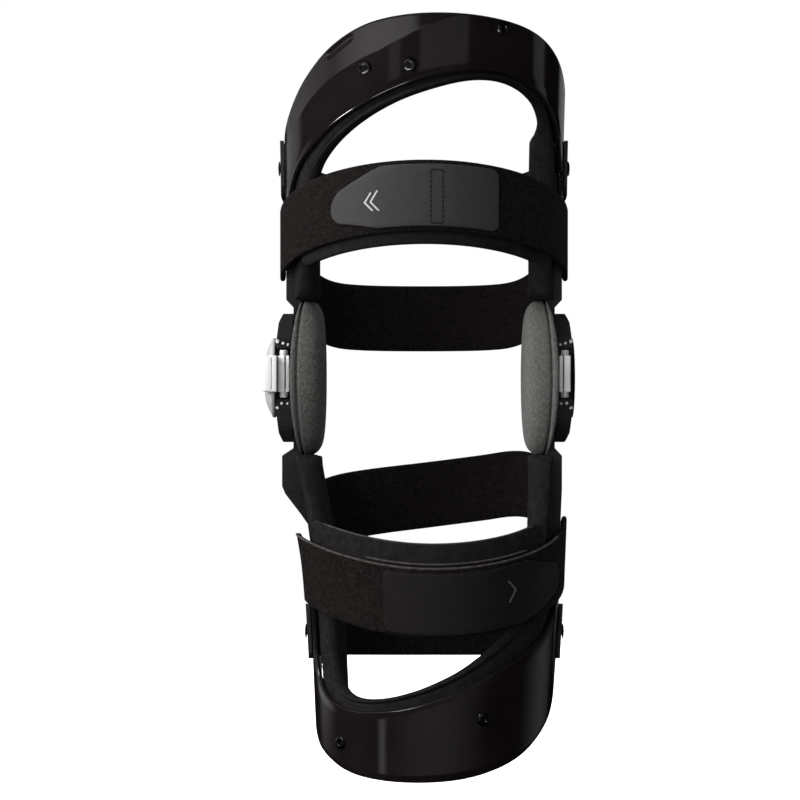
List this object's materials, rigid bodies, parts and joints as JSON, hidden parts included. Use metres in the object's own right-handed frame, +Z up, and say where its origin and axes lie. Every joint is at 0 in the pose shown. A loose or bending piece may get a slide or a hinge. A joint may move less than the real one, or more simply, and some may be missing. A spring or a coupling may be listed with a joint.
{
  "type": "hinged knee brace",
  "caption": "Rigid-frame knee brace: a diagonal thigh arch and a calf arch with soft liners, joined at each side by a geared hinge with a knee pad, and held on by front and rear straps.",
  "frame": {"origin": "middle of the knee, halfway between the two hinges and halfway between their upper and lower pivots", "axes": "+Z up the leg, +Y to the back of the leg, +X to the viewer's right when the brace is seen from the front"},
  "size_m": [0.1636, 0.1446, 0.3884],
  "materials": {
    "frame_gloss": "high gloss black",
    "liner": "matte foam with a fabric face",
    "webbing": "loop velour",
    "tab": "smooth coated webbing",
    "hinge_black": "satin black",
    "steel": "darkened",
    "silver": "silver white",
    "knee_pad": "brushed fabric over foam"
  },
  "bodies": {
    "thigh": {"thigh_shell": "frame_gloss", "thigh_liner": "liner", "thigh_screw_1": "steel", "thigh_screw_2": "steel", "thigh_screw_3": "steel", "thigh_arm_left": "hinge_black", "thigh_arm_right": "hinge_black", "thigh_strap_bracket_left": "hinge_black", "thigh_strap_bracket_right": "hinge_black", "thigh_bracket_rivet_left": "steel", "thigh_bracket_rivet_right": "steel", "thigh_front_strap": "webbing", "thigh_front_strap_pad": "liner", "thigh_front_strap_tab": "tab", "thigh_knee_strap": "webbing", "thigh_end_strap": "webbing"},
    "hinge_left": {"hinge_inner_plate_left": "hinge_black", "hinge_outer_plate_left": "hinge_black", "hinge_cap_left": "silver", "hinge_stop_left": "silver", "hinge_pin_upper_left": "steel", "hinge_pin_lower_left": "steel", "knee_pad_left": "knee_pad"},
    "hinge_right": {"hinge_inner_plate_right": "hinge_black", "hinge_outer_plate_right": "hinge_black", "hinge_cap_right": "hinge_black", "hinge_stop_right": "silver", "hinge_pin_upper_right": "steel", "hinge_pin_lower_right": "steel", "knee_pad_right": "knee_pad"},
    "calf": {"calf_shell": "frame_gloss", "calf_liner": "liner", "calf_screw_1": "steel", "calf_screw_2": "steel", "calf_arm_left": "hinge_black", "calf_arm_right": "hinge_black", "calf_strap_bracket_left": "hinge_black", "calf_strap_bracket_right": "hinge_black", "calf_bracket_rivet_left": "steel", "calf_bracket_rivet_right": "steel", "calf_front_strap": "webbing", "calf_front_strap_pad": "liner", "calf_front_strap_tab": "tab", "calf_knee_strap": "webbing", "calf_end_strap": "webbing"}
  },
  "joints": [
    {"name": "hinge_left_upper", "type": "hinge", "parent": "thigh", "child": "hinge_left", "pos_m": [-0.067, 0, 0.01], "axis": [1, 0, 0], "range_deg": [0, 37.5]},
    {"name": "hinge_right_upper", "type": "hinge", "parent": "thigh", "child": "hinge_right", "pos_m": [0.067, 0, 0.01], "axis": [1, 0, 0], "range_deg": [0, 37.5]},
    {"name": "calf_flexion", "type": "hinge", "parent": "hinge_left", "child": "calf", "pos_m": [-0.067, 0, -0.01], "axis": [1, 0, 0], "range_deg": [0, 37.5]}
  ],
  "couplings": [
    {"joint": "hinge_left_upper", "follows": "calf_flexion", "ratio": 1},
    {"joint": "hinge_right_upper", "follows": "calf_flexion", "ratio": 1}
  ]
}
